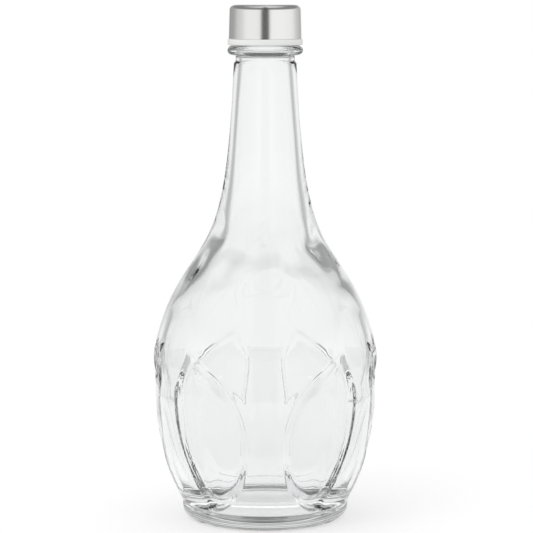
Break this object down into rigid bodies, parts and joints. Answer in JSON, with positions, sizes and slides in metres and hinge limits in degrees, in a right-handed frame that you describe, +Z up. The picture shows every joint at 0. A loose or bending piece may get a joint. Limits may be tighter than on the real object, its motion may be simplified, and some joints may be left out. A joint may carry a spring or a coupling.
{
  "type": "drink bottle",
  "caption": "Clear glass drink bottle with a pear-shaped body, leaf-shaped recessed panels, a long neck and a steel screw cap over a white insert.",
  "frame": {"origin": "centre of the foot, on the plane that the bottle stands on", "axes": "+Z up along the bottle's axis, -Y the front seen in the picture, +X to the picture's right"},
  "size_m": [0.1146, 0.1162, 0.2617],
  "materials": {
    "clear_glass": "clear, fire-polished",
    "steel_shell": "polished satin",
    "white_plastic": "moulded, satin",
    "liner_foam": "soft, matt"
  },
  "bodies": {
    "bottle": {"glass_bottle": "clear_glass"},
    "liner": {"sealing_liner": "liner_foam"},
    "cap": {"cap_shell": "steel_shell", "cap_insert": "white_plastic"}
  },
  "joints": [
    {"name": "cap_lift", "type": "slide", "parent": "bottle", "child": "liner", "axis": [0, 0, 1], "range_m": [0, 0.0254]},
    {"name": "cap_turn", "type": "hinge", "parent": "liner", "child": "cap", "pos_m": [0, 0, 0.25], "axis": [0, 0, 1], "range_deg": [0, 2160]}
  ],
  "couplings": [
    {"joint": "cap_lift", "follows": "cap_turn", "m_per_rad": 0.00067376}
  ]
}
